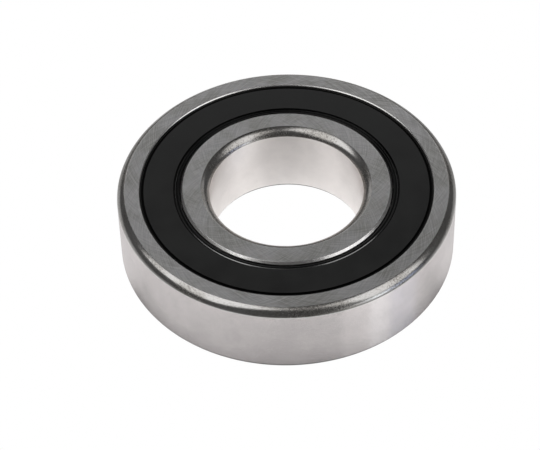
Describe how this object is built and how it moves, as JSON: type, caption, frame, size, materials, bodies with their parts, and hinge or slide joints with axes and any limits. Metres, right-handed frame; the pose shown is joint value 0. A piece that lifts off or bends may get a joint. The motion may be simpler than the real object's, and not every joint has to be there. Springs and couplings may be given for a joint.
{
  "type": "ball bearing",
  "caption": "Sealed deep-groove ball bearing: ground steel inner and outer rings, caged steel balls that roll between them, and a flat black rubber contact seal at each side.",
  "frame": {"origin": "centre of the bearing: on its axis, halfway between its two side faces", "axes": "+Z along the bearing's axis, out of the upper side face; +X through the centre of ball_1"},
  "size_m": [0.11, 0.11, 0.027],
  "materials": {
    "ring_steel": "hardened bearing steel, ground; side faces with faint cross scratches, outside cylinder and bore finer ground",
    "ball_steel": "hardened steel, lapped to a mirror",
    "cage_steel": "pressed mild steel sheet, tumbled satin",
    "rivet_steel": "upset steel wire, satin",
    "washer_steel": "pressed steel sheet, dull",
    "seal_rubber": "black nitrile rubber, moulded, satin"
  },
  "bodies": {
    "outer_ring": {"outer_ring": "ring_steel", "upper_seal_rubber": "seal_rubber", "upper_seal_washer": "washer_steel", "lower_seal_rubber": "seal_rubber", "lower_seal_washer": "washer_steel"},
    "inner_ring": {"inner_ring": "ring_steel"},
    "cage": {"upper_cage_half": "cage_steel", "lower_cage_half": "cage_steel", "cage_rivet_1": "rivet_steel", "cage_rivet_2": "rivet_steel", "cage_rivet_3": "rivet_steel", "cage_rivet_4": "rivet_steel", "cage_rivet_5": "rivet_steel", "cage_rivet_6": "rivet_steel", "cage_rivet_7": "rivet_steel", "cage_rivet_8": "rivet_steel"},
    "ball_1": {"ball_1": "ball_steel"},
    "ball_2": {"ball_2": "ball_steel"},
    "ball_3": {"ball_3": "ball_steel"},
    "ball_4": {"ball_4": "ball_steel"},
    "ball_5": {"ball_5": "ball_steel"},
    "ball_6": {"ball_6": "ball_steel"},
    "ball_7": {"ball_7": "ball_steel"},
    "ball_8": {"ball_8": "ball_steel"}
  },
  "joints": [
    {"name": "inner_ring_spin", "type": "hinge", "parent": "outer_ring", "child": "inner_ring", "pos_m": [0, 0, 0], "axis": [0, 0, 1], "continuous": true},
    {"name": "cage_spin", "type": "hinge", "parent": "outer_ring", "child": "cage", "pos_m": [0, 0, 0], "axis": [0, 0, 1], "continuous": true},
    {"name": "ball_1_spin", "type": "hinge", "parent": "cage", "child": "ball_1", "pos_m": [0.04, 0, 0], "axis": [0, 0, 1], "continuous": true},
    {"name": "ball_2_spin", "type": "hinge", "parent": "cage", "child": "ball_2", "pos_m": [0.02828, 0.02828, 0], "axis": [0, 0, 1], "continuous": true},
    {"name": "ball_3_spin", "type": "hinge", "parent": "cage", "child": "ball_3", "pos_m": [0, 0.04, 0], "axis": [0, 0, 1], "continuous": true},
    {"name": "ball_4_spin", "type": "hinge", "parent": "cage", "child": "ball_4", "pos_m": [-0.02828, 0.02828, 0], "axis": [0, 0, 1], "continuous": true},
    {"name": "ball_5_spin", "type": "hinge", "parent": "cage", "child": "ball_5", "pos_m": [-0.04, 0, 0], "axis": [0, 0, 1], "continuous": true},
    {"name": "ball_6_spin", "type": "hinge", "parent": "cage", "child": "ball_6", "pos_m": [-0.02828, -0.02828, 0], "axis": [0, 0, 1], "continuous": true},
    {"name": "ball_7_spin", "type": "hinge", "parent": "cage", "child": "ball_7", "pos_m": [0, -0.04, 0], "axis": [0, 0, 1], "continuous": true},
    {"name": "ball_8_spin", "type": "hinge", "parent": "cage", "child": "ball_8", "pos_m": [0.02828, -0.02828, 0], "axis": [0, 0, 1], "continuous": true}
  ],
  "couplings": [
    {"joint": "cage_spin", "follows": "inner_ring_spin", "ratio": 0.38094},
    {"joint": "ball_1_spin", "follows": "inner_ring_spin", "ratio": -1.9807},
    {"joint": "ball_2_spin", "follows": "inner_ring_spin", "ratio": -1.9807},
    {"joint": "ball_3_spin", "follows": "inner_ring_spin", "ratio": -1.9807},
    {"joint": "ball_4_spin", "follows": "inner_ring_spin", "ratio": -1.9807},
    {"joint": "ball_5_spin", "follows": "inner_ring_spin", "ratio": -1.9807},
    {"joint": "ball_6_spin", "follows": "inner_ring_spin", "ratio": -1.9807},
    {"joint": "ball_7_spin", "follows": "inner_ring_spin", "ratio": -1.9807},
    {"joint": "ball_8_spin", "follows": "inner_ring_spin", "ratio": -1.9807}
  ]
}
